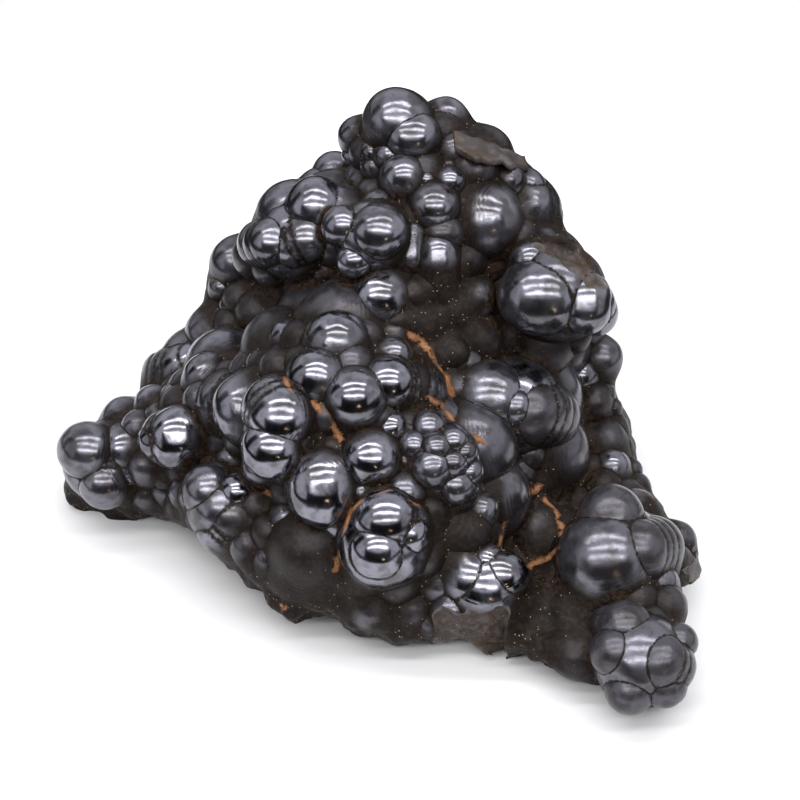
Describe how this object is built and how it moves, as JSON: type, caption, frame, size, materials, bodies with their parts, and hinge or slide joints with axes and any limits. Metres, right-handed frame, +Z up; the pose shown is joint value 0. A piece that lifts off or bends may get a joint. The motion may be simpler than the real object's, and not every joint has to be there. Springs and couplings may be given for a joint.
{
  "type": "botryoidal hematite specimen",
  "caption": "Natural mass of botryoidal hematite with grape-like metallic lobes over blunt ridges, a rough broken underside and back, and a low leg at one side",
  "frame": {"origin": "centre of the bounding box's bottom face, on the plane that the specimen rests on", "axes": "+X is the mass's right as it is seen in the reference picture and its longest extent; +Y points from the front to the back; +Z is up"},
  "size_m": [0.0902, 0.0841, 0.0589],
  "materials": {
    "hematite": "polished metallic on the lobes, matte brown in the creases and on the breaks"
  },
  "bodies": {
    "root": {"hematite_mass": "hematite"}
  },
  "joints": []
}
